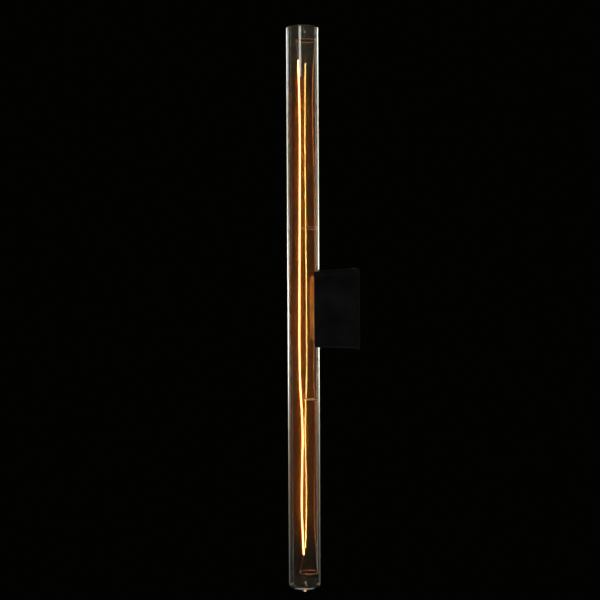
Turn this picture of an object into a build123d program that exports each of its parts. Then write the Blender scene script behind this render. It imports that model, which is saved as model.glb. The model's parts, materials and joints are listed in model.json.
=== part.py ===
from build123d import *

import os
from math import atan2, cos, degrees, radians, sqrt, tan

# A clear tubular lamp with one long filament, plugged by the base at its middle into a box on a wall.
# Millimetres. The origin is the middle of the holder's wall face.
# +Y goes into the wall and +Z runs up along the tube.

# Glass tube
tube_diameter = 28.5
tube_wall = 1.0
tube_length = 497.0
top_corner = 2.0
bottom_corner = 3.5
end_dome = 60.0
tip_diameter = 4.4
tip_length = 3.0

# Sealed glass stem in the side of the tube
stem_diameter = 11.0
stem_length = 5.0
pinch_length = 9.0
pinch_thickness = 4.0
pinch_depth = 3.0
lead_spacing = 6.0
seal_gap = 0.05

# Filament, a flat strip that hangs between two pins, to one side of the tube's axis
filament_width = 1.4
filament_thickness = 1.1
filament_side = 1.5
pin_top = 17.1
pin_bottom = 16.2
pin_wire = 0.6

# How far the filament stands in front of the tube's axis, at shares of its length from the top
filament_bows = [
    (0.0, 3.9),
    (0.08, 2.9),
    (0.17, 2.65),
    (0.4, 3.5),
    (0.58, 4.0),
    (0.65, 3.6),
    (0.72, 1.8),
    (0.76, 1.35),
    (0.82, 2.0),
    (0.9, 2.65),
    (0.95, 2.0),
    (1.0, 1.0),
]

# Wire loops across the tube, each as two straight runs between round ends
top_ring_wire = 0.8
top_ring_width = 15.0
top_ring_run = 3.7
top_ring_inset = 13.9
top_ring_tilt = 6.0
bottom_ring_wire = 1.1
bottom_ring_width = 16.5
bottom_ring_run = 1.5
bottom_ring_inset = 14.5
bottom_ring_tilt = 0.0
support_wire = 0.7
support_width = 12.6
support_run = 0.7
strut_wire = 0.6
upper_support_height = 70.9
upper_support_tilt = 12.0
lower_support_height = -80.1
lower_support_tilt = 2.0
eye_gap = 0.4
weld_gap = 0.05
glass_gap = 0.3

# Share of the shorter run beside a corner of a wire that the bend there takes up
bend_share = 0.45

# Lead wires along the back wall
lead_wire = 0.9
lead_side = 0.85
lead_hook = 3.6
lead_inset = 2.8
lead_end_gap = 0.1

# How far each lead stands in from the back wall, at shares of its way from the stem to its ring
upper_waves = [(0.13, 2.7), (0.4, 3.0), (0.78, 4.6), (0.92, 3.6)]
lower_waves = [(0.14, 4.2), (0.26, 4.7), (0.34, 3.4), (0.5, 3.2), (0.73, 4.8), (0.88, 3.6)]

# Lamp base, a moulded plug behind a plated sheet that is glued to the tube
saddle_glue = 0.1
flange_thickness = 0.6
flange_width = 24.4
flange_length = 58.0
flange_corner = 4.0
plug_width = 20.0
plug_length = 44.0
plug_depth = 18.0
plug_corner = 3.0
shell_wall = 1.5
stem_hole_gap = 0.5
cap_thickness = 1.6
cap_lip = 1.5
cap_lip_wall = 1.2
shell_fit = 0.15
contact_width = 9.0
contact_height = 10.0
contact_thickness = 0.6
contact_proud = 0.3
contact_from_cap = 1.4
contact_tab_width = 4.0
contact_tab_length = 4.5
contact_tab_thickness = 0.5
contact_fit = 0.1

# Driver inside the base
board_thickness = 1.2
board_standoff = 3.6
board_edge_gap = 0.3
board_rib = 1.6
solder_gap = 0.05
capacitor_diameter = 8.0
capacitor_length = 11.0
capacitor_groove = 0.5
capacitor_groove_from_end = 2.0
choke_diameter = 7.0
choke_length = 7.0
choke_flange = 1.0
choke_core = 5.0
rectifier_size = 5.0
rectifier_height = 2.4
rectifier_edge = 0.4
resistor_diameter = 2.6
resistor_length = 7.0

# Holder body, a drafted box round the nest with a saddle in front
body_end_gap = 2.0
body_side_gap = 0.5
body_corner = 5.5
body_draft = 3.2
body_wall = 2.2
body_front_round = 2.0
cheek_reach = 6.5
saddle_gap = 0.4

# Wall plate with a spigot that the body fits over
plate_margin = 0.6
plate_thickness = 3.0
plate_edge = 0.6
shadow_gap = 0.6
spigot_height = 7.0
spigot_wall = 1.6
spigot_gap = 0.2
wall_hole_diameter = 4.4
wall_hole_spacing = 46.0
cable_hole_diameter = 8.0
cable_hole_height = -6.0

# Nest that the base plugs into
plug_gap = 0.4
nest_side = 3.4
nest_end = 2.0
nest_floor = 2.0
nest_clear = 0.4
spring_pocket = 4.7
pillar_diameter = 7.0
pillar_across = 6.5
pillar_gap = 1.5
screw_diameter = 3.0
screw_head_diameter = 5.6
screw_length = 8.0
screw_recess = 3.4
screw_gap = 0.1
slot_width = 0.8
slot_depth = 0.7

# Contact springs
spring_thickness = 0.4
spring_width = 8.0
spring_gap = 0.3
spring_bend = 1.0
spring_top_flat = 0.4
spring_top_inset = 1.7
spring_flare = 1.5
spring_leg_gap = 0.6
spring_tail = 3.0
spring_slot_gap = 0.2

# Grub screws that hold the body on the spigot
grub_diameter = 3.0
grub_length = 5.0
grub_sunk = 0.4
grub_boss_width = 8.0
grub_boss_depth = 4.0

# Supply terminals, a block moulded round two clamps
terminal_height = 5.0
terminal_clear = 1.2
terminal_floor = 1.5
terminal_roof = 0.8
terminal_side = 1.1
terminal_rib = 2.2
terminal_end = 1.0
clamp_width = 6.0
clamp_length = 8.0
clamp_depth = 5.8
clamp_fit = 0.15
clamp_wire_hole = 2.4
clamp_wire_floor = 0.6
clamp_screw_diameter = 2.5
clamp_screw_head = 3.8
clamp_screw_head_height = 1.4
supply_wire = 1.8
supply_wire_entry = 2.5
supply_bend = 4.0

# Places that several pieces share, with distances behind the tube's axis counted towards the wall
tube_radius = tube_diameter / 2
bore_radius = tube_radius - tube_wall
flange_inside = tube_radius + saddle_glue
flange_outside = flange_inside + flange_thickness
shell_saddle = flange_outside + saddle_glue
body_saddle = flange_outside + saddle_gap
plug_back = tube_radius + plug_depth
cap_front = plug_back - cap_thickness
board_back = cap_front - board_standoff
board_front = board_back - board_thickness
pinch_back = tube_radius + stem_length + pinch_depth
top_ring_height = tube_length / 2 - top_ring_inset
bottom_ring_height = bottom_ring_inset - tube_length / 2
filament_top = top_ring_height - pin_top
filament_bottom = bottom_ring_height + pin_bottom
shell_inner_width = plug_width - 2 * shell_wall
shell_inner_length = plug_length - 2 * shell_wall
shell_inner_corner = plug_corner - shell_wall
contact_face = plug_length / 2 + contact_proud
contact_middle = cap_front - contact_from_cap - contact_height / 2
contact_tab_behind = board_front - solder_gap - contact_tab_thickness / 2
board_half_width = shell_inner_width / 2 - board_edge_gap
driver_clear = stem_diameter / 2 + stem_hole_gap
nest_width = plug_width + 2 * plug_gap
nest_half_length = contact_face + plug_gap
nest_front = body_saddle + body_wall + nest_clear
nest_floor_front = plug_back + plug_gap
nest_back = nest_floor_front + nest_floor
pocket_end = nest_half_length + spring_pocket
spring_leg = pocket_end - spring_leg_gap - spring_thickness / 2
clamp_pocket_width = clamp_width + 2 * clamp_fit
clamp_pocket_depth = clamp_depth + 2 * clamp_fit
terminal_spacing = clamp_pocket_width + terminal_rib
terminal_width = terminal_spacing + clamp_pocket_width + 2 * terminal_side
terminal_length = clamp_length + 2 * terminal_end
terminal_depth = terminal_floor + clamp_pocket_depth + terminal_roof
terminals = [(terminal_spacing / 2, terminal_height), (-terminal_spacing / 2, terminal_height)]
plate_front = nest_back + terminal_clear + terminal_depth
axis_to_wall = plate_front + plate_thickness
clamp_back = plate_front - terminal_floor - clamp_fit
clamp_front = clamp_back - clamp_depth
clamp_wire_behind = clamp_back - clamp_wire_floor - clamp_wire_hole / 2
pillar_height = terminal_height + terminal_length / 2 + pillar_gap + pillar_diameter / 2
pillars = [(-pillar_across, pillar_height), (pillar_across, -pillar_height)]
body_front = tube_radius - cheek_reach
body_back = plate_front - shadow_gap
draft_slope = tan(radians(body_draft))
draft_behind_nest = (body_back - nest_front) * draft_slope
body_inner_length = 2 * (pocket_end + nest_end + body_end_gap + draft_behind_nest)
body_inner_width = nest_width + 2 * (nest_side + body_side_gap + draft_behind_nest)
body_inner_corner = body_corner - body_wall
body_length = body_inner_length + 2 * body_wall
body_width = body_inner_width + 2 * body_wall
plate_length = body_length + 2 * plate_margin
plate_width = body_width + 2 * plate_margin
grub_behind = plate_front - shadow_gap - spigot_height / 2
tube_axis = Axis((0, -axis_to_wall, 0), (0, 0, 1))


def facing_room(behind):
    """Plane at a distance behind the tube's axis, with X to the right and Z up, looking out of the wall."""
    return Plane.XZ.offset(axis_to_wall - behind)


def at(across, behind, height):
    """Point at a distance to the side of, behind and above the middle of the tube."""
    return (across, behind - axis_to_wall, height)


def widest_bends(points):
    """Bend radius for each corner of a wire, as large as the runs beside it leave room for."""
    corners = [Vector(*point) for point in points]
    radii = []
    for before, corner, after in zip(corners, corners[1:], corners[2:]):
        run_in = corner - before
        run_out = after - corner
        half_turn = radians(run_in.get_angle(run_out)) / 2
        radii.append(bend_share * min(run_in.length, run_out.length) / tan(half_turn))
    return radii


def add_wire(points, diameter, bends=None):
    """Adds a round wire along straight runs, with bends at the corners, to the part being built."""
    with BuildLine() as path:
        if len(points) > 2:
            FilletPolyline(*points, radius=bends or widest_bends(points))
        else:
            Line(*points)
    with BuildSketch(Plane(path.line @ 0, z_dir=path.line % 0)) as section:
        Circle(diameter / 2)
    sweep(section.sketch, path=path.line)


def add_loop(plane, run, turn, diameter):
    """Adds a closed loop of round wire, with straight runs along the plane's Y between its round ends."""
    with BuildLine(plane) as path:
        Line((turn, -run / 2), (turn, run / 2))
        CenterArc((0, run / 2), turn, 0, 180)
        Line((-turn, run / 2), (-turn, -run / 2))
        CenterArc((0, -run / 2), turn, 180, 180)
    with BuildSketch(Plane(path.line @ 0, z_dir=path.line % 0)) as section:
        Circle(diameter / 2)
    sweep(section.sketch, path=path.line)


def tube_section(inset):
    """Half section of the tube's outline, moved inwards, to be turned about the tube's axis."""
    wall = tube_radius - inset
    dome_center = tube_length / 2 - end_dome
    with BuildSketch(facing_room(0)) as section:
        for up, corner in ((1, top_corner), (-1, bottom_corner)):
            corner_across = tube_radius - corner
            corner_up = dome_center + sqrt((end_dome - corner) ** 2 - corner_across**2)
            corner_turn = degrees(atan2(corner_up - dome_center, corner_across))
            with BuildLine():
                Line((0, 0), (wall, 0))
                Line((wall, 0), (wall, up * corner_up))
                CenterArc((corner_across, up * corner_up), corner - inset, 0, up * corner_turn)
                CenterArc((0, up * dome_center), end_dome - inset, up * corner_turn, up * (90 - corner_turn))
                Line((0, up * (tube_length / 2 - inset)), (0, 0))
            make_face()
    return section.sketch


def loop_middle(width, run):
    """How far behind the tube's axis the middle of a wire loop lies, with its back close to the glass."""
    return bore_radius - glass_gap - (width + run) / 2


def loop_front(width, run, wire, across):
    """How far behind the tube's axis the front end of a wire loop lies, at a distance to its side."""
    turn = (width - wire) / 2
    return loop_middle(width, run) - run / 2 - sqrt(turn**2 - across**2)


def loop_rise(across, tilt):
    """How far a wire loop that is tilted sideways rises, at a distance to its side."""
    return across * tan(radians(tilt))


# Corners of the filament's path from its top to its bottom
filament_points = [
    at(filament_side, -before, filament_top + share * (filament_bottom - filament_top))
    for share, before in filament_bows
]


def filament_behind(height):
    """How far behind the tube's axis the filament's path stands at a height."""
    for upper, lower in zip(filament_points, filament_points[1:]):
        if lower[2] <= height <= upper[2]:
            share = (upper[2] - height) / (upper[2] - lower[2])
            return upper[1] + share * (lower[1] - upper[1]) + axis_to_wall


# Glass tube, closed by a shallow dome at each end, with its exhaust tip below and a hole for the stem
with BuildPart() as glass_tube:
    revolve(tube_section(0), axis=tube_axis)
    tip_root = tube_wall / 2 - tube_length / 2
    tip_end = -tube_length / 2 - tip_length
    with BuildSketch(facing_room(0)):
        with BuildLine():
            Line((0, tip_end), (0, tip_root))
            Line((0, tip_root), (tip_diameter, tip_root))
            Bezier((tip_diameter, tip_root), (tip_diameter / 2, tip_root - tip_length / 2),
                   (tip_diameter / 2, tip_end), (0, tip_end))
        make_face()
    revolve(axis=tube_axis)
    revolve(tube_section(tube_wall), axis=tube_axis, mode=Mode.SUBTRACT)
    with BuildSketch(facing_room(0)):
        Circle(stem_diameter / 2 + seal_gap)
    extrude(amount=-tube_diameter, mode=Mode.SUBTRACT)

# Stem, flush with the bore, flattened behind into a pinch that seals the two leads
with BuildPart() as glass_stem:
    with BuildSketch(facing_room(0)):
        Circle(stem_diameter / 2)
    extrude(amount=-tube_radius - stem_length)
    with BuildSketch(facing_room(tube_radius + stem_length)):
        SlotOverall(pinch_length, pinch_thickness, rotation=90)
    extrude(amount=-pinch_depth)
    with Locations((0, -axis_to_wall, 0)):
        Cylinder(bore_radius, 2 * stem_diameter, mode=Mode.SUBTRACT)
    with BuildSketch(facing_room(0)):
        with GridLocations(0, lead_spacing, 1, 2):
            with Locations((lead_side, 0)):
                Circle(lead_wire / 2 + seal_gap)
    extrude(amount=-pinch_back, mode=Mode.SUBTRACT)

# Filament, a strip with rounded edges along a bowed path, with its broad side to the side
with BuildPart() as filament:
    with BuildLine() as filament_path:
        FilletPolyline(*filament_points, radius=widest_bends(filament_points))
    with BuildSketch(Plane(filament_path.line @ 0, x_dir=(1, 0, 0), z_dir=filament_path.line % 0)):
        SlotOverall(filament_width, filament_thickness, rotation=90)
    sweep(path=filament_path.line)

# Two pins from the ends of the filament to the front ends of the rings
with BuildPart() as filament_pins:
    for end, away, ring_height, width, run, wire, tilt in (
        (filament_points[0], 1, top_ring_height, top_ring_width, top_ring_run, top_ring_wire, top_ring_tilt),
        (filament_points[-1], -1, bottom_ring_height, bottom_ring_width, bottom_ring_run, bottom_ring_wire,
         bottom_ring_tilt),
    ):
        foot = Vector(end) + Vector(0, 0, away * weld_gap)
        head_height = ring_height + loop_rise(filament_side, tilt) - away * (wire / 2 + 2 * weld_gap)
        head = at(filament_side, loop_front(width, run, wire, filament_side), head_height)
        add_wire([foot, head], pin_wire)


def tilted(behind, height, tilt):
    """Plane across the tube, tilted sideways."""
    return Plane(at(0, behind, height)).rotated((0, -tilt, 0))


def ring(height, width, run, wire, tilt):
    """A wire loop across the tube, close to its back wall."""
    with BuildPart() as loop:
        add_loop(tilted(loop_middle(width, run), height, tilt), run, (width - wire) / 2, wire)
    return loop.part


top_ring = ring(top_ring_height, top_ring_width, top_ring_run, top_ring_wire, top_ring_tilt)
bottom_ring = ring(bottom_ring_height, bottom_ring_width, bottom_ring_run, bottom_ring_wire, bottom_ring_tilt)


def support(height, tilt):
    """A wire loop from the back wall, tilted sideways, with an eye round the filament."""
    middle_behind = loop_middle(support_width, support_run)
    across = filament_side / cos(radians(tilt))
    front = loop_front(support_width, support_run, support_wire, across) - middle_behind
    eye_behind = filament_behind(height + loop_rise(filament_side, tilt)) - middle_behind
    eye_radius = filament_width / 2 + eye_gap + support_wire / 2
    plane = tilted(middle_behind, height, tilt)
    with BuildPart() as loop:
        add_loop(plane, support_run, (support_width - support_wire) / 2, support_wire)
        strut = [(across, front), (across, eye_behind + eye_radius)]
        add_wire([plane.from_local_coords(end) for end in strut], strut_wire)
        with Locations(plane):
            with Locations((across, eye_behind)):
                Torus(eye_radius, support_wire / 2)
    return loop.part


upper_support = support(upper_support_height, upper_support_tilt)
lower_support = support(lower_support_height, lower_support_tilt)


def lead(waves, ring_height, ring_wire, ring_tilt):
    """A lead wire from the driver through the stem, along the back wall and over its ring."""
    away = 1 if ring_height > 0 else -1
    start = away * lead_spacing / 2
    climb = ring_height - start
    run = bore_radius - lead_inset
    points = [at(lead_side, board_front - lead_end_gap, start), at(lead_side, run, start)]
    points += [at(lead_side, bore_radius - inset, start + share * climb) for share, inset in waves]
    beside_ring = bore_radius - glass_gap - ring_wire - weld_gap - lead_wire / 2
    ring_there = ring_height + loop_rise(lead_side, ring_tilt)
    over_ring = ring_there + away * ((ring_wire + lead_wire) / 2 + 2 * weld_gap)
    points += [at(lead_side, beside_ring, over_ring), at(lead_side, beside_ring - lead_hook, over_ring)]
    bends = widest_bends(points)
    bends[0] = lead_inset - glass_gap
    with BuildPart() as wire:
        add_wire(points, lead_wire, bends)
    return wire.part


upper_lead = lead(upper_waves, top_ring_height, top_ring_wire, top_ring_tilt)
lower_lead = lead(lower_waves, bottom_ring_height, bottom_ring_wire, bottom_ring_tilt)

# Plated sheet between the tube and the base, with a hole for the stem
with BuildPart() as base_flange:
    with BuildSketch(facing_room(0)):
        RectangleRounded(flange_width, flange_length, flange_corner)
    extrude(amount=-flange_outside)
    with BuildSketch(Plane.XY):
        with Locations((0, -axis_to_wall)):
            Circle(flange_outside)
            Circle(flange_inside, mode=Mode.SUBTRACT)
    extrude(amount=flange_length / 2, both=True, mode=Mode.INTERSECT)
    with BuildSketch(facing_room(0)):
        Circle(stem_diameter / 2 + stem_hole_gap)
    extrude(amount=-flange_outside, mode=Mode.SUBTRACT)

# Hollow of the base, which ends in front at the saddle wall
with BuildPart() as base_hollow:
    with BuildSketch(facing_room(cap_front)):
        RectangleRounded(shell_inner_width, shell_inner_length, shell_inner_corner)
    extrude(amount=cap_front)
    with Locations((0, -axis_to_wall, 0)):
        Cylinder(shell_saddle + shell_wall, 2 * plug_length, mode=Mode.SUBTRACT)

# Base shell, glued to the sheet by its saddle, with recesses and slots for the contacts in its ends
with BuildPart() as base_shell:
    with BuildSketch(facing_room(cap_front)):
        RectangleRounded(plug_width, plug_length, plug_corner)
    extrude(amount=cap_front)
    add(base_hollow.part, mode=Mode.SUBTRACT)
    with Locations((0, -axis_to_wall, 0)):
        Cylinder(shell_saddle, 2 * plug_length, mode=Mode.SUBTRACT)
    with BuildSketch(facing_room(0)):
        Circle(stem_diameter / 2 + stem_hole_gap)
    extrude(amount=-cap_front, mode=Mode.SUBTRACT)
    recess_width = contact_width + 2 * contact_fit
    recess_height = contact_height + 2 * contact_fit
    recess_depth = contact_thickness - contact_proud
    tab_slot_width = contact_tab_width + 2 * contact_fit
    tab_slot_height = contact_tab_thickness + 2 * contact_fit
    for side in (1, -1):
        with Locations(at(0, contact_middle, side * (plug_length - recess_depth) / 2)):
            Box(recess_width, recess_height, recess_depth, mode=Mode.SUBTRACT)
        with Locations(at(0, contact_tab_behind, side * (plug_length - shell_wall) / 2)):
            Box(tab_slot_width, tab_slot_height, shell_wall, mode=Mode.SUBTRACT)

# Lid of the base, with a lip inside the shell and two ribs that carry the board
with BuildPart() as base_cap:
    with BuildSketch(facing_room(plug_back)):
        RectangleRounded(plug_width, plug_length, plug_corner)
    extrude(amount=cap_thickness)
    lip_width = shell_inner_width - 2 * shell_fit
    lip_length = shell_inner_length - 2 * shell_fit
    lip_corner = shell_inner_corner - shell_fit
    with BuildSketch(facing_room(cap_front)):
        RectangleRounded(lip_width, lip_length, lip_corner)
        offset(amount=-cap_lip_wall, mode=Mode.SUBTRACT)
    extrude(amount=cap_lip)
    with BuildSketch(facing_room(cap_front)):
        with GridLocations(0, lip_length - board_rib - 2 * cap_lip_wall, 1, 2):
            Rectangle(lip_width - 2 * cap_lip_wall, board_rib)
    extrude(amount=board_standoff)
    fillet(base_cap.faces().sort_by(Axis.Y)[-1].edges(), cap_thickness / 2)


def contact_plate(side):
    """A contact in the end of the base, with a tab bent in over the driver board."""
    with BuildPart() as plate:
        with Locations(at(0, contact_middle, side * (contact_face - contact_thickness / 2))):
            Box(contact_width, contact_height, contact_thickness)
        fillet(plate.edges().filter_by(Axis.Z), contact_thickness)
        tab_outer = contact_face - contact_thickness
        with Locations(at(0, contact_tab_behind, side * (tab_outer - contact_tab_length / 2))):
            Box(contact_tab_width, contact_tab_thickness, contact_tab_length)
    return plate.part


contact_plate_upper = contact_plate(1)
contact_plate_lower = contact_plate(-1)

# Driver board, which stands on the ribs of the lid
with BuildPart() as driver_board:
    with BuildSketch(facing_room(board_back)):
        RectangleRounded(shell_inner_width - 2 * board_edge_gap, shell_inner_length - 2 * board_edge_gap,
                         shell_inner_corner)
    extrude(amount=board_thickness)

# Capacitor, lying on the upper half of the board, with the crimped groove of its can
with BuildPart() as driver_capacitor:
    capacitor_radius = capacitor_diameter / 2
    capacitor_behind = board_front - solder_gap - capacitor_radius
    capacitor_foot = at(capacitor_radius - board_half_width, capacitor_behind, driver_clear)
    capacitor_axis = Axis(capacitor_foot, (0, 0, 1))
    with Locations(capacitor_foot):
        Cylinder(capacitor_radius, capacitor_length, align=(Align.CENTER, Align.CENTER, Align.MIN))
    with BuildSketch(Plane(capacitor_foot, z_dir=(0, -1, 0))):
        with Locations((capacitor_radius, capacitor_groove_from_end)):
            Circle(capacitor_groove)
    revolve(axis=capacitor_axis, mode=Mode.SUBTRACT)

# Choke, a wound drum core standing on the lower half of the board
with BuildPart() as driver_choke:
    choke_height = -driver_clear - choke_diameter / 2
    choke_foot = board_front - solder_gap
    with BuildSketch(facing_room(choke_foot)):
        with Locations((0, choke_height)):
            Circle(choke_diameter / 2)
    extrude(amount=choke_flange)
    with BuildSketch(facing_room(choke_foot)):
        with Locations((0, choke_height)):
            Circle(choke_core / 2)
    extrude(amount=choke_length)
    with BuildSketch(facing_room(choke_foot - choke_length + choke_flange)):
        with Locations((0, choke_height)):
            Circle(choke_diameter / 2)
    extrude(amount=choke_flange)

# Rectifier, a flat square package beside the capacitor
with BuildPart() as driver_rectifier:
    with BuildSketch(facing_room(board_front - solder_gap)):
        with Locations((board_half_width - rectifier_size / 2, driver_clear + rectifier_size / 2)):
            Rectangle(rectifier_size, rectifier_size)
    extrude(amount=rectifier_height)
    chamfer(driver_rectifier.faces().sort_by(Axis.Y)[0].edges(), rectifier_edge)

# Fusible resistor, lying beside the leads
with BuildPart() as driver_resistor:
    resistor_behind = board_front - solder_gap - resistor_diameter / 2
    with Locations(at(board_half_width - resistor_diameter / 2, resistor_behind, -lead_spacing / 2)):
        Cylinder(resistor_diameter / 2, resistor_length)
    fillet(driver_resistor.edges(), resistor_diameter / 4)

# Hollow of the holder body, open to the wall and ending in front at the saddle wall
with BuildPart() as body_hollow:
    with BuildSketch(facing_room(body_back)):
        RectangleRounded(body_inner_width, body_inner_length, body_inner_corner)
    extrude(amount=body_back - body_front - body_wall, taper=body_draft)
    with Locations((0, -axis_to_wall, 0)):
        Cylinder(body_saddle + body_wall, 2 * body_length, mode=Mode.SUBTRACT)

# Holder body, a drafted box with cheeks round the tube and an opening for the base
with BuildPart() as holder_body:
    with BuildSketch(facing_room(body_back)):
        RectangleRounded(body_width, body_length, body_corner)
    extrude(amount=body_back - body_front, taper=body_draft)
    fillet(holder_body.faces().sort_by(Axis.Y)[0].edges(), body_front_round)
    add(body_hollow.part, mode=Mode.SUBTRACT)
    with Locations((0, -axis_to_wall, 0)):
        Cylinder(body_saddle, 2 * body_length, mode=Mode.SUBTRACT)
    with BuildSketch(facing_room(0)):
        RectangleRounded(nest_width, 2 * nest_half_length, plug_corner + plug_gap)
    extrude(amount=-nest_front, mode=Mode.SUBTRACT)
    with Locations(at(0, grub_behind, 0)):
        Cylinder(grub_diameter / 2 + screw_gap, 2 * body_length, mode=Mode.SUBTRACT)

# Wall plate with its spigot, grub screw bosses, pillars for the nest, wall holes and cable hole
with BuildPart() as wall_plate:
    with BuildSketch(facing_room(axis_to_wall)):
        RectangleRounded(plate_width, plate_length, body_corner + plate_margin)
    extrude(amount=plate_thickness)
    chamfer(wall_plate.faces().sort_by(Axis.Y)[0].edges(), plate_edge)
    spigot_shrink = 2 * (spigot_gap + shadow_gap * draft_slope)
    spigot_length = body_inner_length - spigot_shrink
    spigot_width = body_inner_width - spigot_shrink
    with BuildSketch(facing_room(plate_front)):
        RectangleRounded(spigot_width, spigot_length, body_inner_corner)
    extrude(amount=spigot_height, taper=body_draft)
    with BuildSketch(facing_room(plate_front)):
        RectangleRounded(spigot_width, spigot_length, body_inner_corner)
        offset(amount=-spigot_wall, mode=Mode.REPLACE)
    extrude(amount=spigot_height, taper=body_draft, mode=Mode.SUBTRACT)
    with BuildSketch(facing_room(plate_front)):
        with GridLocations(0, spigot_length - spigot_wall - grub_boss_depth, 1, 2):
            Rectangle(grub_boss_width, grub_boss_depth)
    extrude(amount=spigot_height)
    with BuildSketch(facing_room(plate_front)):
        with Locations(*pillars):
            Circle(pillar_diameter / 2)
    extrude(amount=plate_front - nest_back)
    with Locations(at(0, grub_behind, 0)):
        Cylinder(grub_diameter / 2 + screw_gap, plate_length, mode=Mode.SUBTRACT)
    with BuildSketch(facing_room(axis_to_wall)):
        with GridLocations(0, wall_hole_spacing, 1, 2):
            Circle(wall_hole_diameter / 2)
        with Locations((0, cable_hole_height)):
            Circle(cable_hole_diameter / 2)
    extrude(amount=plate_thickness, mode=Mode.SUBTRACT)
    with BuildSketch(facing_room(nest_back)):
        with Locations(*pillars):
            Circle(screw_diameter / 2 + screw_gap)
    extrude(amount=-screw_length, mode=Mode.SUBTRACT)

# Nest, a box with a cavity for the base, a pocket for a spring at each end and two countersunk screws
with BuildPart() as contact_carrier:
    with BuildSketch(facing_room(nest_back)):
        RectangleRounded(nest_width + 2 * nest_side, 2 * (pocket_end + nest_end), plug_corner)
    extrude(amount=nest_back - nest_front)
    with BuildSketch(facing_room(nest_floor_front)):
        RectangleRounded(nest_width, 2 * nest_half_length, plug_corner)
        Rectangle(spring_width + 2 * spring_leg_gap, 2 * pocket_end)
    extrude(amount=nest_floor_front - nest_front, mode=Mode.SUBTRACT)
    with BuildSketch(facing_room(nest_back)):
        with GridLocations(0, 2 * spring_leg, 1, 2):
            Rectangle(spring_width + 2 * spring_slot_gap, spring_thickness + 2 * spring_slot_gap)
    extrude(amount=nest_floor, mode=Mode.SUBTRACT)
    with Locations(facing_room(nest_floor_front)):
        with Locations(*pillars):
            CounterSinkHole(screw_diameter / 2 + screw_gap, screw_head_diameter / 2 + screw_gap)


def countersunk_screw_section():
    """Half section of a countersunk screw, with its head's face at the origin and its shank going down."""
    head_depth = (screw_head_diameter - screw_diameter) / 2
    with BuildSketch(Plane.XZ) as section:
        with BuildLine():
            Polyline(
                (0, 0),
                (screw_head_diameter / 2, 0),
                (screw_diameter / 2, -head_depth),
                (screw_diameter / 2, -screw_length),
                (0, -screw_length),
                close=True,
            )
        make_face()
    return section.sketch


# One countersunk screw, cross recessed, then a pair of them in the nest
with BuildPart() as nest_screw:
    revolve(countersunk_screw_section(), axis=Axis.Z)
    with Locations((0, 0, -slot_depth / 2)):
        Box(screw_recess, slot_width, slot_depth, mode=Mode.SUBTRACT)
        Box(slot_width, screw_recess, slot_depth, mode=Mode.SUBTRACT)
with BuildPart() as carrier_screws:
    with Locations(facing_room(nest_floor_front)):
        with Locations(*pillars):
            add(nest_screw.part)


def contact_spring(side):
    """A leaf spring that stands in its pocket, bows towards its contact and has a tail behind the nest."""
    top = nest_front + spring_top_inset
    contact = contact_face + spring_gap + spring_thickness / 2
    profile = [
        (nest_back + spring_tail, spring_leg),
        (top, spring_leg),
        (top, spring_leg - 2 * spring_bend - spring_top_flat),
        (contact_middle, contact),
        (plug_back - cap_thickness, contact + spring_flare),
    ]
    with BuildPart() as spring:
        with BuildSketch(Plane.YZ):
            with BuildLine():
                FilletPolyline(*[(behind - axis_to_wall, side * height) for behind, height in profile],
                               radius=spring_bend)
            trace(line_width=spring_thickness)
        extrude(amount=spring_width / 2, both=True)
    return spring.part


contact_spring_upper = contact_spring(1)
contact_spring_lower = contact_spring(-1)

# Grub screws through the ends of the body into the bosses, each with a slot
with BuildPart() as grub_screws:
    body_half_there = body_length / 2 - (body_back - grub_behind) * draft_slope
    for side in (1, -1):
        outer = side * (body_half_there - grub_sunk)
        with Locations(at(0, grub_behind, outer - side * grub_length / 2)):
            Cylinder(grub_diameter / 2, grub_length)
        with Locations(at(0, grub_behind, outer - side * slot_depth / 2)):
            Box(grub_diameter, slot_width, slot_depth, mode=Mode.SUBTRACT)

# Terminal block on the plate, with a pocket through it for each clamp and a hole over each screw
with BuildPart() as terminal_block:
    with BuildSketch(facing_room(plate_front)):
        with Locations((0, terminal_height)):
            Rectangle(terminal_width, terminal_length)
    extrude(amount=terminal_depth)
    for across, height in terminals:
        with Locations(at(across, (clamp_front + clamp_back) / 2, height)):
            Box(clamp_pocket_width, clamp_pocket_depth, terminal_length, mode=Mode.SUBTRACT)
    with BuildSketch(facing_room(plate_front - terminal_depth)):
        with Locations(*terminals):
            Circle(clamp_screw_head / 2 + screw_gap)
    extrude(amount=-terminal_roof, mode=Mode.SUBTRACT)

# Clamps, each drilled along for the wire and across for its screw
with BuildPart() as terminal_clamps:
    for across, height in terminals:
        with Locations(at(across, (clamp_front + clamp_back) / 2, height)):
            Box(clamp_width, clamp_depth, clamp_length)
        with Locations(at(across, clamp_wire_behind, height)):
            Cylinder(clamp_wire_hole / 2, clamp_length, mode=Mode.SUBTRACT)
    with BuildSketch(facing_room(clamp_front)):
        with Locations(*terminals):
            Circle(clamp_screw_diameter / 2 + screw_gap)
    extrude(amount=clamp_front - clamp_wire_behind, mode=Mode.SUBTRACT)

# Terminal screws, with slotted heads
with BuildPart() as terminal_screws:
    head_foot = clamp_front - screw_gap
    screw_tip = clamp_wire_behind - supply_wire / 2 - screw_gap
    with BuildSketch(facing_room(screw_tip)):
        with Locations(*terminals):
            Circle(clamp_screw_diameter / 2)
    extrude(amount=screw_tip - head_foot)
    with BuildSketch(facing_room(head_foot)):
        with Locations(*terminals):
            Circle(clamp_screw_head / 2)
    extrude(amount=clamp_screw_head_height)
    with BuildSketch(facing_room(head_foot - clamp_screw_head_height)):
        with Locations(*terminals):
            Rectangle(clamp_screw_head, slot_width)
    extrude(amount=-slot_depth, mode=Mode.SUBTRACT)


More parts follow.
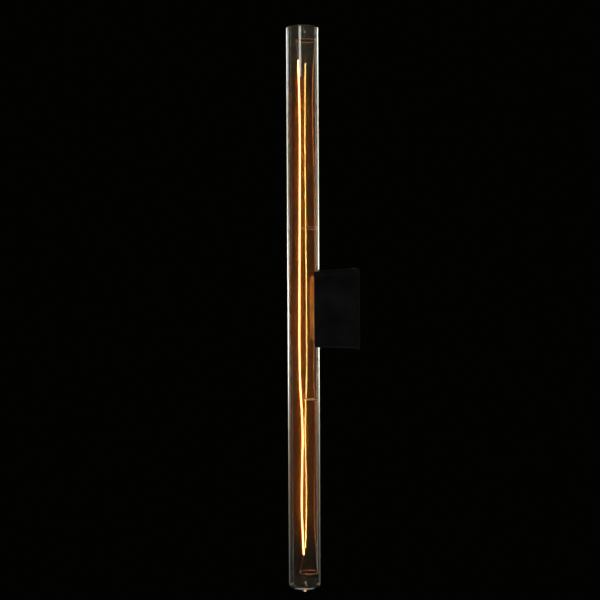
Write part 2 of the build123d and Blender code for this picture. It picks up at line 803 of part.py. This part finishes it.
def supply_lead(terminal, side):
    """An insulated wire from a terminal clamp to the tail of a contact spring."""
    across, height = terminal
    start = height + side * (clamp_length / 2 - supply_wire_entry)
    tail_behind = nest_back + spring_tail / 2
    tail_height = side * (spring_leg - spring_thickness / 2 - weld_gap)
    points = [
        at(across, clamp_wire_behind, start),
        at(across, clamp_wire_behind, height + side * (clamp_length / 2 + supply_bend)),
        at(0, tail_behind, tail_height - side * supply_bend),
        at(0, tail_behind, tail_height),
    ]
    with BuildPart() as wire:
        add_wire(points, supply_wire)
    return wire.part


live_wire = supply_lead(terminals[0], 1)
neutral_wire = supply_lead(terminals[1], -1)

pieces = {
    "glass_tube": glass_tube.part,
    "glass_stem": glass_stem.part,
    "filament": filament.part,
    "filament_pins": filament_pins.part,
    "top_ring": top_ring,
    "bottom_ring": bottom_ring,
    "upper_support": upper_support,
    "lower_support": lower_support,
    "upper_lead": upper_lead,
    "lower_lead": lower_lead,
    "base_flange": base_flange.part,
    "base_shell": base_shell.part,
    "base_cap": base_cap.part,
    "contact_plate_upper": contact_plate_upper,
    "contact_plate_lower": contact_plate_lower,
    "driver_board": driver_board.part,
    "driver_capacitor": driver_capacitor.part,
    "driver_choke": driver_choke.part,
    "driver_rectifier": driver_rectifier.part,
    "driver_resistor": driver_resistor.part,
    "holder_body": holder_body.part,
    "wall_plate": wall_plate.part,
    "contact_carrier": contact_carrier.part,
    "carrier_screws": carrier_screws.part,
    "contact_spring_upper": contact_spring_upper,
    "contact_spring_lower": contact_spring_lower,
    "grub_screws": grub_screws.part,
    "terminal_block": terminal_block.part,
    "terminal_clamps": terminal_clamps.part,
    "terminal_screws": terminal_screws.part,
    "live_wire": live_wire,
    "neutral_wire": neutral_wire,
}

os.makedirs("parts", exist_ok=True)
for name, piece in pieces.items():
    piece.label = name
    export_step(piece, f"parts/{name}.step")
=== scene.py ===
import json
from math import asin, cos, pi, radians, sin, sqrt

import bmesh
import bpy
from mathutils import Matrix, Vector


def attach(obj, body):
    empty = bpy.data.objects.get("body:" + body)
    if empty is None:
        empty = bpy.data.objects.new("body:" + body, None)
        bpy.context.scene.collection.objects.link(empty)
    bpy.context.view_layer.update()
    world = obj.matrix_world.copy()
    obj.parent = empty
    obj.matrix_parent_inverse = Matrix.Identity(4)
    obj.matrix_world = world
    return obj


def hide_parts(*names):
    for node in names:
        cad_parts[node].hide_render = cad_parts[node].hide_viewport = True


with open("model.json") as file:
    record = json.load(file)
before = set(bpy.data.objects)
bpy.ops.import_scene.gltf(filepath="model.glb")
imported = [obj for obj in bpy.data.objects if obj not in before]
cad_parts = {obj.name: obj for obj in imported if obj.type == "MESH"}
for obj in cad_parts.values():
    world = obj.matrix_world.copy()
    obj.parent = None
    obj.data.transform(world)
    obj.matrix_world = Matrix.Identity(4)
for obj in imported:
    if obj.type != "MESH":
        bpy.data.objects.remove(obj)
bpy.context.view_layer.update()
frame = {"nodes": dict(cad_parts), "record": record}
scene = bpy.context.scene
scene.view_settings.view_transform = "Standard"

MM = 0.001

# Sizes of the glass and the place of its axis, as in the part's source, in millimetres
TUBE_RADIUS = 14.25
TUBE_WALL = 1.0
TUBE_LENGTH = 497.0
TOP_CORNER = 2.0
BOTTOM_CORNER = 3.5
END_DOME = 60.0
TIP_DIAMETER = 4.4
TIP_LENGTH = 3.0
STEM_HOLE = 11.1
AXIS_Y = -47.25

# Upright line that the filament keeps near to, as X and Y, and about the height of its ends, in millimetres
FILAMENT_LINE = (1.5, -50.0)
FILAMENT_END = 217.5


# Nodes that the materials, the world and the lights are put together from

# Stretch of a noise that is the same all ways, and of one that is drawn out upwards
EVEN = (1.0, 1.0, 1.0)
LENGTHWISE = (1.0, 1.0, 0.1)

# Range that most of a noise lies in
NOISE_LOW = 0.3
NOISE_HIGH = 0.7


def feed(tree, node, values):
    """Gives each named input of a node a fixed value, or links it to another node's output."""
    for name, value in values.items():
        socket = node.inputs[name]
        if isinstance(value, bpy.types.NodeSocket):
            tree.links.new(value, socket)
        else:
            socket.default_value = value


def noise(tree, scale, detail=4.0, stretch=EVEN):
    """Noise in the part's own space. Scale counts features in a metre."""
    place = tree.nodes.new("ShaderNodeTexCoord")
    mapping = tree.nodes.new("ShaderNodeMapping")
    feed(tree, mapping, {"Vector": place.outputs["Object"], "Scale": stretch})
    texture = tree.nodes.new("ShaderNodeTexNoise")
    feed(tree, texture, {"Vector": mapping.outputs["Vector"], "Scale": scale, "Detail": detail})
    return texture.outputs["Fac"]


def spread(tree, value, low, high, start=NOISE_LOW, end=NOISE_HIGH):
    """A value from start to end, stretched to run from low to high."""
    node = tree.nodes.new("ShaderNodeMapRange")
    feed(tree, node, {"Value": value, "From Min": start, "From Max": end, "To Min": low, "To Max": high})
    return node.outputs["Result"]


def ramp(tree, value, *stops):
    """Colours along a value, each as a place and a linear colour."""
    node = tree.nodes.new("ShaderNodeValToRGB")
    elements = node.color_ramp.elements
    while len(elements) < len(stops):
        elements.new(0.5)
    for element, (place, colour) in zip(elements, stops):
        element.position = place
        element.color = (*colour, 1.0)
    feed(tree, node, {"Fac": value})
    return node.outputs["Color"]


def blended(tree, share, first, second):
    """A fixed colour where the share is 0, and a second one where it is 1."""
    node = tree.nodes.new("ShaderNodeMixRGB")
    feed(tree, node, {"Fac": share, "Color1": (*first, 1.0), "Color2": second})
    return node.outputs["Color"]


def maths(tree, operation, first, second=0.0):
    """One sum on sockets or numbers."""
    node = tree.nodes.new("ShaderNodeMath")
    node.operation = operation
    feed(tree, node, {0: first, 1: second})
    return node.outputs["Value"]


def dot(tree, first, second):
    """Dot product of two vectors."""
    node = tree.nodes.new("ShaderNodeVectorMath")
    node.operation = "DOT_PRODUCT"
    feed(tree, node, {0: first, 1: second})
    return node.outputs["Value"]


def split(tree, vector):
    """The X, Y and Z of a vector."""
    node = tree.nodes.new("ShaderNodeSeparateXYZ")
    feed(tree, node, {"Vector": vector})
    return node.outputs


def bump(tree, height, strength, distance, normal=None):
    """Normal with a relief, whose full height is a distance in metres."""
    node = tree.nodes.new("ShaderNodeBump")
    feed(tree, node, {"Height": height, "Strength": strength, "Distance": distance})
    if normal:
        feed(tree, node, {"Normal": normal})
    return node.outputs["Normal"]


def background(tree, colour, strength):
    """Light of a colour and a strength from all round."""
    node = tree.nodes.new("ShaderNodeBackground")
    feed(tree, node, {"Color": (*colour, 1.0), "Strength": strength})
    return node.outputs["Background"]


# Materials

# Plastic: clouds in a metre, their levels at the dark and the light colour, and the strength of its texture
PLASTIC_CLOUDS = 60.0
CLOUDS_DARK = 0.35
CLOUDS_LIGHT = 0.65
PLASTIC_BUMP = 0.35

# Edges of plastic, paler as a painted highlight and shinier: their colour, and their roughness as a share of
# the rest
EDGE_HIGHLIGHT = (0.03, 0.03, 0.028)
WORN_ROUGHNESS = 0.5

# Cosine of the turn from the real face to the rounded one, where the edge's painted highlight and shine are
# full and where it is flat
EDGE_TURN = 0.75
FLAT_TURN = 0.98
BEVEL_SAMPLES = 6

# Metal: spots of tarnish in a metre, and their levels at the dark and the light colour
TARNISH_SPOTS = 220.0
TARNISH_DARK = 0.38
TARNISH_LIGHT = 0.62

# Drawing marks on metal: how many in a metre, their strength, and their depth in millimetres
DRAWING_MARKS = 5000.0
MARK_BUMP = 0.25
MARK_DEPTH = 0.04

# Glass: its index, and the fine haze on its walls, in grains to a metre, tinted amber as a painted halo of
# the filament's light
GLASS_IOR = 1.47
CLEAR = (1.0, 1.0, 1.0)
HAZE_GRAINS = 9000.0
PAINTED_HALO_TINT = (1.0, 0.2, 0.002)
HAZE_ROUGHNESS = 0.6

# Levels of the noise where a grain of haze starts and is full, and their rise past the filament's ends
HAZE_START = 0.65
HAZE_FULL = 0.66
HAZE_THINNING = 0.12

# Painted glow on the glass: the filament's light on it, as the glass's own emission at a distance from the
# filament, in millimetres
PAINTED_GLOW = 0.0025
PAINTED_GLOW_DISTANCE = 10.0
PAINTED_GLOW_COLOUR = (1.0, 0.3, 0.012)

# Heights above and below the middle where the haze with its painted halo tint and the painted glow start to
# fade and have faded, in millimetres
FADE_START = FILAMENT_END - 40.0
FADE_END = FILAMENT_END + 12.0

# Phosphor: its own colour, and the colours of its light from its back to its front
PHOSPHOR_COLOUR = (0.9, 0.62, 0.2)
PHOSPHOR_ROUGHNESS = 0.45
LIGHT_COLOURS = (
    (0.2, (1.0, 0.7, 0.18)),
    (0.4, (1.0, 0.4, 0.1)),
    (0.7, (1.0, 0.36, 0.08)),
    (0.9, (1.0, 0.36, 0.13)),
)

# Strength of its light on its back and sides, its shoulders and its front
BACK_LIGHT = 20.0
SHOULDER_LIGHT = 1.5
FRONT_LIGHT = 9.0

# How far its surface faces the front, from -1 to 1, where the sides end and the front starts and is full
SIDES_END = 0.3
FRONT_START = 0.5
FRONT_FULL = 0.85

# The dies under it: their pitch in millimetres, and the shares of its light between them and over them
DIE_PITCH = 1.8
DIE_GAP_SHARE = 0.8
DIE_SHARE = 1.2


def new_material(name):
    """A material with its tree and its Principled shader."""
    material = bpy.data.materials.new(name)
    material.use_nodes = True
    tree = material.node_tree
    return material, tree, tree.nodes["Principled BSDF"]


def rounded_edges(tree, radius):
    """Normal with the edges rounded off, and the share of the face that is left flat."""
    bevel = tree.nodes.new("ShaderNodeBevel")
    bevel.samples = BEVEL_SAMPLES
    feed(tree, bevel, {"Radius": radius})
    face = tree.nodes.new("ShaderNodeNewGeometry")
    turn = dot(tree, bevel.outputs["Normal"], face.outputs["Normal"])
    return bevel.outputs["Normal"], spread(tree, turn, 0.0, 1.0, EDGE_TURN, FLAT_TURN)


def moulded(name, dark, light, roughness, grain, relief, gloss=0.5, edge=0.0):
    """Moulded plastic with a fine texture and a faint cloudiness. Relief is in millimetres, and so is the
    radius of the edges, which are shinier and carry a painted highlight in a paler colour."""
    material, tree, shader = new_material(name)
    clouds = noise(tree, PLASTIC_CLOUDS)
    texture = noise(tree, grain, detail=2.0)
    colour = ramp(tree, clouds, (CLOUDS_DARK, dark), (CLOUDS_LIGHT, light))
    rough = spread(tree, clouds, *roughness)
    normal = None
    if edge:
        normal, flat = rounded_edges(tree, edge * MM)
        rough = maths(tree, "MULTIPLY", rough, spread(tree, flat, WORN_ROUGHNESS, 1.0, 0.0, 1.0))
        # Painted highlight: the rounded edges take a paler colour than the faces
        colour = blended(tree, flat, EDGE_HIGHLIGHT, colour)
    feed(tree, shader, {
        "Base Color": colour,
        "Roughness": rough,
        "Specular IOR Level": gloss,
        "Normal": bump(tree, texture, PLASTIC_BUMP, relief * MM, normal),
    })
    return material


def metal(name, dark, light, roughness, stretch=EVEN):
    """Bare metal with tarnish and fine drawing marks."""
    material, tree, shader = new_material(name)
    tarnish = noise(tree, TARNISH_SPOTS, detail=5.0)
    marks = noise(tree, DRAWING_MARKS, detail=2.0, stretch=stretch)
    feed(tree, shader, {
        "Metallic": 1.0,
        "Base Color": ramp(tree, tarnish, (TARNISH_DARK, dark), (TARNISH_LIGHT, light)),
        "Roughness": spread(tree, tarnish, *roughness),
        "Normal": bump(tree, marks, MARK_BUMP, MARK_DEPTH * MM),
    })
    return material


def clear_glass():
    """Clear glass with a clear coat, which strengthens its reflections. As far as the filament reaches, its
    walls carry fine grains of haze, tinted amber as a painted halo, and a painted glow of the filament's
    light."""
    material, tree, shader = new_material("clear_glass")
    coordinates = tree.nodes.new("ShaderNodeTexCoord")
    place = split(tree, coordinates.outputs["Object"])
    height = maths(tree, "ABSOLUTE", place["Z"])
    reach = spread(tree, height, 1.0, 0.0, FADE_START * MM, FADE_END * MM)
    thinning = spread(tree, reach, -HAZE_THINNING, 0.0, 0.0, 1.0)
    haze_and_halo = maths(tree, "ADD", noise(tree, HAZE_GRAINS, detail=0.0), thinning)
    # Painted halo: the grains of haze are tinted amber, in what passes through them and in their reflections
    halo_tint = ramp(tree, haze_and_halo, (HAZE_START, CLEAR), (HAZE_FULL, PAINTED_HALO_TINT))
    across = maths(tree, "SUBTRACT", place["X"], FILAMENT_LINE[0] * MM)
    behind = maths(tree, "SUBTRACT", place["Y"], FILAMENT_LINE[1] * MM)
    across_squared = maths(tree, "MULTIPLY", across, across)
    behind_squared = maths(tree, "MULTIPLY", behind, behind)
    distance_squared = maths(tree, "ADD", across_squared, behind_squared)
    # Painted glow: the glass emits amber light that falls off with the square of its distance from the
    # filament's line
    painted_glow = maths(tree, "DIVIDE", PAINTED_GLOW * (PAINTED_GLOW_DISTANCE * MM) ** 2, distance_squared)
    feed(tree, shader, {
        "Transmission Weight": 1.0,
        "IOR": GLASS_IOR,
        "Coat Weight": 1.0,
        "Coat Roughness": 0.0,
        "Base Color": halo_tint,
        "Specular Tint": halo_tint,
        "Roughness": spread(tree, haze_and_halo, 0.0, HAZE_ROUGHNESS, HAZE_START, HAZE_FULL),
        "Emission Color": (*PAINTED_GLOW_COLOUR, 1.0),
        "Emission Strength": maths(tree, "MULTIPLY", painted_glow, reach),
    })
    return material


def phosphor():
    """Lit phosphor coat, brightest on its back and sides, with a line of light along its front."""
    material, tree, shader = new_material("phosphor")
    coordinates = tree.nodes.new("ShaderNodeTexCoord")
    place = split(tree, coordinates.outputs["Object"])
    facing = split(tree, coordinates.outputs["Normal"])["X"]
    front = spread(tree, facing, SHOULDER_LIGHT, FRONT_LIGHT, FRONT_START, FRONT_FULL)
    back = spread(tree, facing, BACK_LIGHT, 0.0, 0.0, SIDES_END)
    light = maths(tree, "MAXIMUM", front, back)
    dies = maths(tree, "SINE", maths(tree, "MULTIPLY", place["Z"], 2 * pi / (DIE_PITCH * MM)))
    share = spread(tree, dies, DIE_GAP_SHARE, DIE_SHARE, -1.0, 1.0)
    feed(tree, shader, {
        "Base Color": (*PHOSPHOR_COLOUR, 1.0),
        "Roughness": PHOSPHOR_ROUGHNESS,
        "Emission Color": ramp(tree, spread(tree, facing, 0.0, 1.0, -1.0, 1.0), *LIGHT_COLOURS),
        "Emission Strength": maths(tree, "MULTIPLY", light, share),
    })
    return material


METALS = {
    "copper_wire": dict(dark=(0.75, 0.27, 0.12), light=(0.98, 0.46, 0.26), roughness=(0.25, 0.45)),
    "nickel_wire": dict(dark=(0.75, 0.62, 0.48), light=(0.95, 0.86, 0.74), roughness=(0.35, 0.55)),
    # The plated strip's warm gold colour is painted amber light from the filament on it
    "nickel_plate": dict(dark=(0.9, 0.66, 0.36), light=(0.98, 0.78, 0.48), roughness=(0.6, 0.75),
                         stretch=LENGTHWISE),
    "contact_brass": dict(dark=(0.6, 0.42, 0.16), light=(0.82, 0.63, 0.3), roughness=(0.22, 0.42),
                          stretch=LENGTHWISE),
    "screw_steel": dict(dark=(0.5, 0.5, 0.5), light=(0.72, 0.72, 0.7), roughness=(0.25, 0.45)),
}
PLASTICS = {
    "base_plastic": dict(dark=(0.012, 0.012, 0.012), light=(0.02, 0.02, 0.02), roughness=(0.35, 0.5),
                         grain=2600.0, relief=0.04),
    "holder_plastic": dict(dark=(0.0025, 0.0025, 0.0025), light=(0.005, 0.005, 0.005), roughness=(0.38, 0.5),
                           grain=2600.0, relief=0.04, gloss=0.06, edge=0.8),
    "nest_plastic": dict(dark=(0.6, 0.56, 0.48), light=(0.72, 0.68, 0.6), roughness=(0.4, 0.55),
                         grain=1800.0, relief=0.03),
    "board_laminate": dict(dark=(0.03, 0.16, 0.07), light=(0.05, 0.24, 0.11), roughness=(0.3, 0.45),
                           grain=1500.0, relief=0.03),
    "capacitor_sleeve": dict(dark=(0.02, 0.025, 0.05), light=(0.03, 0.035, 0.07), roughness=(0.2, 0.3),
                             grain=900.0, relief=0.01),
    "ferrite": dict(dark=(0.05, 0.05, 0.055), light=(0.09, 0.09, 0.095), roughness=(0.6, 0.8),
                    grain=2200.0, relief=0.06),
    "moulded_epoxy": dict(dark=(0.02, 0.02, 0.022), light=(0.035, 0.035, 0.038), roughness=(0.5, 0.65),
                          grain=2500.0, relief=0.04),
    "resistor_lacquer": dict(dark=(0.16, 0.28, 0.36), light=(0.24, 0.38, 0.46), roughness=(0.2, 0.35),
                             grain=1200.0, relief=0.02),
    "brown_insulation": dict(dark=(0.13, 0.05, 0.02), light=(0.19, 0.08, 0.035), roughness=(0.35, 0.5),
                             grain=1500.0, relief=0.03),
    "blue_insulation": dict(dark=(0.03, 0.09, 0.3), light=(0.05, 0.14, 0.42), roughness=(0.35, 0.5),
                            grain=1500.0, relief=0.03),
}
MATERIALS = {"clear_glass": clear_glass(), "phosphor": phosphor()}
for name, look in METALS.items():
    MATERIALS[name] = metal(name, **look)
for name, look in PLASTICS.items():
    MATERIALS[name] = moulded(name, **look)
for part in frame["record"]["subparts"]:
    node = frame["nodes"][part["node"]]
    node.data.materials.clear()
    node.data.materials.append(MATERIALS[part["material_slot"]])


# Glass tube, turned more finely than the solid

# Steps round a corner, along a dome, along the tip, and round the axis
CORNER_STEPS = 16
DOME_STEPS = 14
TIP_STEPS = 16
ROUND_STEPS = 144

# Heights of the wall's rows above and below the middle, closer together near the stem, in millimetres
ROW_HEIGHTS = (150, 60, 20, 10, 4)

# Room left between the tip and the nearest row of the dome, in millimetres
TIP_ROOM = 0.3

# A point of an outline that is nearer to the axis than this, in millimetres, lies on it
ON_AXIS = 1e-6

# Round cutter of the stem's hole: its sides, and its depth in millimetres
CUTTER_SIDES = 72
CUTTER_DEPTH = 10.0


def arc(middle, radius, start, end, steps):
    """Points along an arc, in millimetres across and up."""
    turns = [start + (end - start) * step / steps for step in range(steps + 1)]
    return [(middle[0] + radius * cos(turn), middle[1] + radius * sin(turn)) for turn in turns]


def end_outline(inset, corner):
    """Outline of an end of the tube from its wall to its axis, as an upper end."""
    corner_across = TUBE_RADIUS - corner
    dome_middle = TUBE_LENGTH / 2 - END_DOME
    turn = pi / 2 - asin(corner_across / (END_DOME - corner))
    corner_up = dome_middle + (END_DOME - corner) * sin(turn)
    bend = arc((corner_across, corner_up), corner - inset, 0.0, turn, CORNER_STEPS)
    dome = arc((0.0, dome_middle), END_DOME - inset, turn, pi / 2, DOME_STEPS)
    return bend + dome[1:]


def wall_outline(inset):
    """Outline of the tube from its top to its bottom, with rows near the stem."""
    wall = TUBE_RADIUS - inset
    top = end_outline(inset, TOP_CORNER)[::-1]
    upper_rows = [(wall, height) for height in ROW_HEIGHTS]
    lower_rows = [(wall, -height) for height in ROW_HEIGHTS[::-1]]
    bottom = [(across, -up) for across, up in end_outline(inset, BOTTOM_CORNER)]
    return top + upper_rows + lower_rows + bottom


def tip_outline():
    """Outline of the exhaust tip from the dome to its end, as a cubic curve."""
    root = TUBE_WALL / 2 - TUBE_LENGTH / 2
    end = -TUBE_LENGTH / 2 - TIP_LENGTH
    radius = TIP_DIAMETER / 2
    guides = [(TIP_DIAMETER, root), (radius, root - TIP_LENGTH / 2), (radius, end), (0.0, end)]
    points = []
    for step in range(TIP_STEPS + 1):
        t = step / TIP_STEPS
        weights = ((1 - t) ** 3, 3 * t * (1 - t) ** 2, 3 * t * t * (1 - t), t**3)
        points.append(tuple(sum(w * p[i] for w, p in zip(weights, guides)) for i in (0, 1)))
    return points


def outer_outline():
    """Outer outline, with the tip growing out of the lower dome."""
    dome_middle = END_DOME - TUBE_LENGTH / 2
    tip = [p for p in tip_outline() if p[1] < dome_middle - sqrt(END_DOME**2 - p[0] ** 2)]
    tip_root = tip[0][0] + TIP_ROOM
    return [p for p in wall_outline(0.0) if p[1] > 0 or p[0] > tip_root] + tip


def add_lathed(bm, outline, outwards):
    """Turns an outline about the tube's axis, with its faces outwards or inwards."""
    turns = [2 * pi * step / ROUND_STEPS for step in range(ROUND_STEPS)]
    rings = []
    for across, up in outline:
        if across < ON_AXIS:
            rings.append([bm.verts.new((0.0, AXIS_Y * MM, up * MM))])
            continue
        rings.append([
            bm.verts.new((across * cos(turn) * MM, (AXIS_Y + across * sin(turn)) * MM, up * MM))
            for turn in turns
        ])
    for upper, lower in zip(rings, rings[1:]):
        for step in range(ROUND_STEPS):
            after = (step + 1) % ROUND_STEPS
            corners = [upper[step % len(upper)], lower[step % len(lower)],
                       lower[after % len(lower)], upper[after % len(upper)]]
            corners = list(dict.fromkeys(corners))
            bm.faces.new(corners if outwards else corners[::-1])


def make_object(name, bm):
    """A smooth object from a bmesh."""
    mesh = bpy.data.meshes.new(name)
    bm.to_mesh(mesh)
    bm.free()
    for face in mesh.polygons:
        face.use_smooth = True
    thing = bpy.data.objects.new(name, mesh)
    scene.collection.objects.link(thing)
    return thing


def cut_stem_hole(glass):
    """Cuts the hole for the stem into the back of the tube."""
    bm = bmesh.new()
    place = Matrix.Translation((0.0, (AXIS_Y + TUBE_RADIUS) * MM, 0.0)) @ Matrix.Rotation(pi / 2, 4, "X")
    radius = STEM_HOLE / 2 * MM
    bmesh.ops.create_cone(bm, cap_ends=True, segments=CUTTER_SIDES, radius1=radius, radius2=radius,
                          depth=CUTTER_DEPTH * MM, matrix=place)
    cutter = make_object("stem_cutter", bm)
    cut = glass.modifiers.new("stem_hole", "BOOLEAN")
    cut.object = cutter
    cut.operation = "DIFFERENCE"
    cut.solver = "EXACT"
    graph = bpy.context.evaluated_depsgraph_get()
    holed = bpy.data.meshes.new_from_object(glass.evaluated_get(graph))
    glass.modifiers.clear()
    glass.data = holed
    bpy.data.objects.remove(cutter)


def glass_tube():
    """The tube with its two walls and the hole for the stem in its back."""
    bm = bmesh.new()
    add_lathed(bm, outer_outline(), True)
    add_lathed(bm, wall_outline(TUBE_WALL), False)
    glass = make_object("tube_glass", bm)
    cut_stem_hole(glass)
    glass.data.materials.clear()
    glass.data.materials.append(MATERIALS["clear_glass"])
    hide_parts("glass_tube")
    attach(glass, "lamp")


glass_tube()


# Stage, in metres

# Camera, fitted to the tube as the photo shows it, with its lens and sensor in millimetres
EYE = Vector((1.3404, -0.2114, 0.0686))
AIM = Vector((0.0, -0.0503, 0.0078))
ROLL = radians(-0.28)
LENS = 92.15
SENSOR = 36.0

# Middle of the tube, and the level direction from there to the camera
MIDDLE = Vector((0.0, AXIS_Y * MM, 0.0))
TO_CAMERA = Vector((EYE.x, EYE.y - AXIS_Y * MM, 0.0)).normalized()

# Levels of the soft light all round, and of what the camera, metal and glass see
SOFT_LEVEL = 0.6
BACKDROP_LEVEL = 0.0008
ROOM_LEVEL = 0.02
CEILING_LEVEL = 0.1
SOFT_COLOUR = (1.0, 1.0, 1.0)
SEEN_COLOUR = (1.0, 0.92, 0.65)

# How far a direction points to the camera where the backdrop ends and where the room is at its full level
BACKDROP_END = -0.8
ROOM_FULL = 0.3

# How far a direction points up where the ceiling starts and where it is at its full level
CEILING_START = 0.12
CEILING_FULL = 0.135

# Floor: its height, half its width, clouds in a metre, and finish
FLOOR_HEIGHT = -0.9
FLOOR_REACH = 0.42
FLOOR_CLOUDS = 3.0
FLOOR_DARK = (0.6, 0.6, 0.6)
FLOOR_LIGHT = (0.63, 0.63, 0.62)
FLOOR_ROUGHNESS = 0.8

# Softboxes: their colour, and the pair behind the tube, with shares of its light from its bottom to its top
SOFTBOX_COLOUR = (0.95, 1.0, 0.86)
RIM_ANGLES = {"rim_left": -36.0, "rim_right": 36.0}
RIM_LEVELS = (
    (0.03, 0.04),
    (0.15, 0.075),
    (0.22, 0.12),
    (0.31, 0.3),
    (0.425, 0.95),
    (0.59, 1.0),
    (0.69, 0.62),
    (0.775, 0.55),
    (0.86, 0.56),
    (0.97, 0.65),
)

# A reflected ray has more bounces than this, with its end on the light and without its passes through glass
REFLECTED_BOUNCES = 1.5

# A ray that never went through glass has fewer passes than this
OUTSIDE_PASSES = 0.5


def add_camera():
    """A camera at the photo's viewing angle."""
    data = bpy.data.cameras.new("camera")
    data.lens = LENS
    data.sensor_width = SENSOR
    camera = bpy.data.objects.new("camera", data)
    turn = (AIM - EYE).to_track_quat("-Z", "Y").to_matrix() @ Matrix.Rotation(ROLL, 3, "Z")
    camera.matrix_world = Matrix.Translation(EYE) @ turn.to_4x4()
    scene.collection.objects.link(camera)
    scene.camera = camera


def add_world():
    """Soft light all round. The camera, metal and glass see a dark backdrop behind the lamp, and before it a
    dim room with a lighter ceiling."""
    world = bpy.data.worlds.new("studio")
    scene.world = world
    world.use_nodes = True
    tree = world.node_tree
    tree.nodes.clear()
    coordinates = tree.nodes.new("ShaderNodeTexCoord")
    direction = coordinates.outputs["Generated"]
    before = spread(tree, dot(tree, direction, TO_CAMERA), 0.0, 1.0, BACKDROP_END, ROOM_FULL)
    rise = split(tree, direction)["Z"]
    room = spread(tree, rise, ROOM_LEVEL, CEILING_LEVEL, CEILING_START, CEILING_FULL)
    level = maths(tree, "ADD", maths(tree, "MULTIPLY", before, room), BACKDROP_LEVEL)
    path = tree.nodes.new("ShaderNodeLightPath")
    shown = maths(tree, "MAXIMUM", path.outputs["Is Camera Ray"], path.outputs["Is Glossy Ray"])
    shown = maths(tree, "MAXIMUM", shown, path.outputs["Is Transmission Ray"])
    soft = background(tree, SOFT_COLOUR, SOFT_LEVEL)
    seen = background(tree, SEEN_COLOUR, level)
    mix = tree.nodes.new("ShaderNodeMixShader")
    feed(tree, mix, {0: shown, 1: soft, 2: seen})
    output = tree.nodes.new("ShaderNodeOutputWorld")
    feed(tree, output, {"Surface": mix.outputs["Shader"]})


def softbox_light(tree, levels):
    """Lets a softbox light the scene and show in reflections, but not straight through the glass."""
    path = tree.nodes.new("ShaderNodeLightPath")
    passes = path.outputs["Transmission Depth"]
    bounces = maths(tree, "SUBTRACT", path.outputs["Ray Depth"], passes)
    reflected = maths(tree, "GREATER_THAN", bounces, REFLECTED_BOUNCES)
    outside = maths(tree, "LESS_THAN", passes, OUTSIDE_PASSES)
    strength = maths(tree, "MAXIMUM", reflected, outside)
    if levels:
        surface = tree.nodes.new("ShaderNodeNewGeometry")
        rise = split(tree, surface.outputs["Parametric"])["Y"]
        shares = ramp(tree, rise, *[(place, (share, share, share)) for place, share in levels])
        strength = maths(tree, "MULTIPLY", strength, shares)
    feed(tree, tree.nodes["Emission"], {"Strength": strength})


def add_softbox(name, angle, distance, height, size, power, levels=()):
    """A softbox round the tube, which the camera doesn't see. The angle is from straight behind the tube as
    the camera sees it, to the right. Levels are shares of its light from its bottom to its top, and a softbox
    with levels stands upright."""
    data = bpy.data.lights.new(name, "AREA")
    data.shape = "RECTANGLE"
    data.size, data.size_y = size
    data.energy = power
    data.color = SOFTBOX_COLOUR
    data.use_nodes = True
    softbox_light(data.node_tree, levels)
    light = bpy.data.objects.new(name, data)
    direction = Matrix.Rotation(-radians(angle), 3, "Z") @ -TO_CAMERA
    light.location = MIDDLE + direction * distance + Vector((0.0, 0.0, height))
    aim = MIDDLE - light.location
    if levels:
        aim.z = 0.0
    light.rotation_euler = aim.to_track_quat("-Z", "Y").to_euler()
    light.visible_camera = False
    scene.collection.objects.link(light)


def add_floor():
    """A plain pale square of floor under the lamp, in line with the camera."""
    middle = MIDDLE + Vector((0.0, 0.0, FLOOR_HEIGHT))
    front = TO_CAMERA * FLOOR_REACH
    side = Vector((-front.y, front.x, 0.0))
    bm = bmesh.new()
    corners = [middle + front + side, middle - front + side, middle - front - side, middle + front - side]
    bm.faces.new([bm.verts.new(corner) for corner in corners])
    floor = make_object("floor", bm)
    material, tree, shader = new_material("floor")
    shade = ramp(tree, noise(tree, FLOOR_CLOUDS), (NOISE_LOW, FLOOR_DARK), (NOISE_HIGH, FLOOR_LIGHT))
    feed(tree, shader, {"Base Color": shade, "Roughness": FLOOR_ROUGHNESS})
    floor.data.materials.append(material)


add_camera()
add_world()
for name, angle in RIM_ANGLES.items():
    add_softbox(name, angle, distance=0.9, height=-0.045, size=(0.255, 0.85), power=2.4, levels=RIM_LEVELS)
add_softbox("edge_right", angle=75.0, distance=0.9, height=0.0, size=(0.1, 0.9), power=0.3)
add_softbox("key", angle=-163.2, distance=1.3, height=0.6, size=(0.41, 0.5), power=2.1)
add_floor()
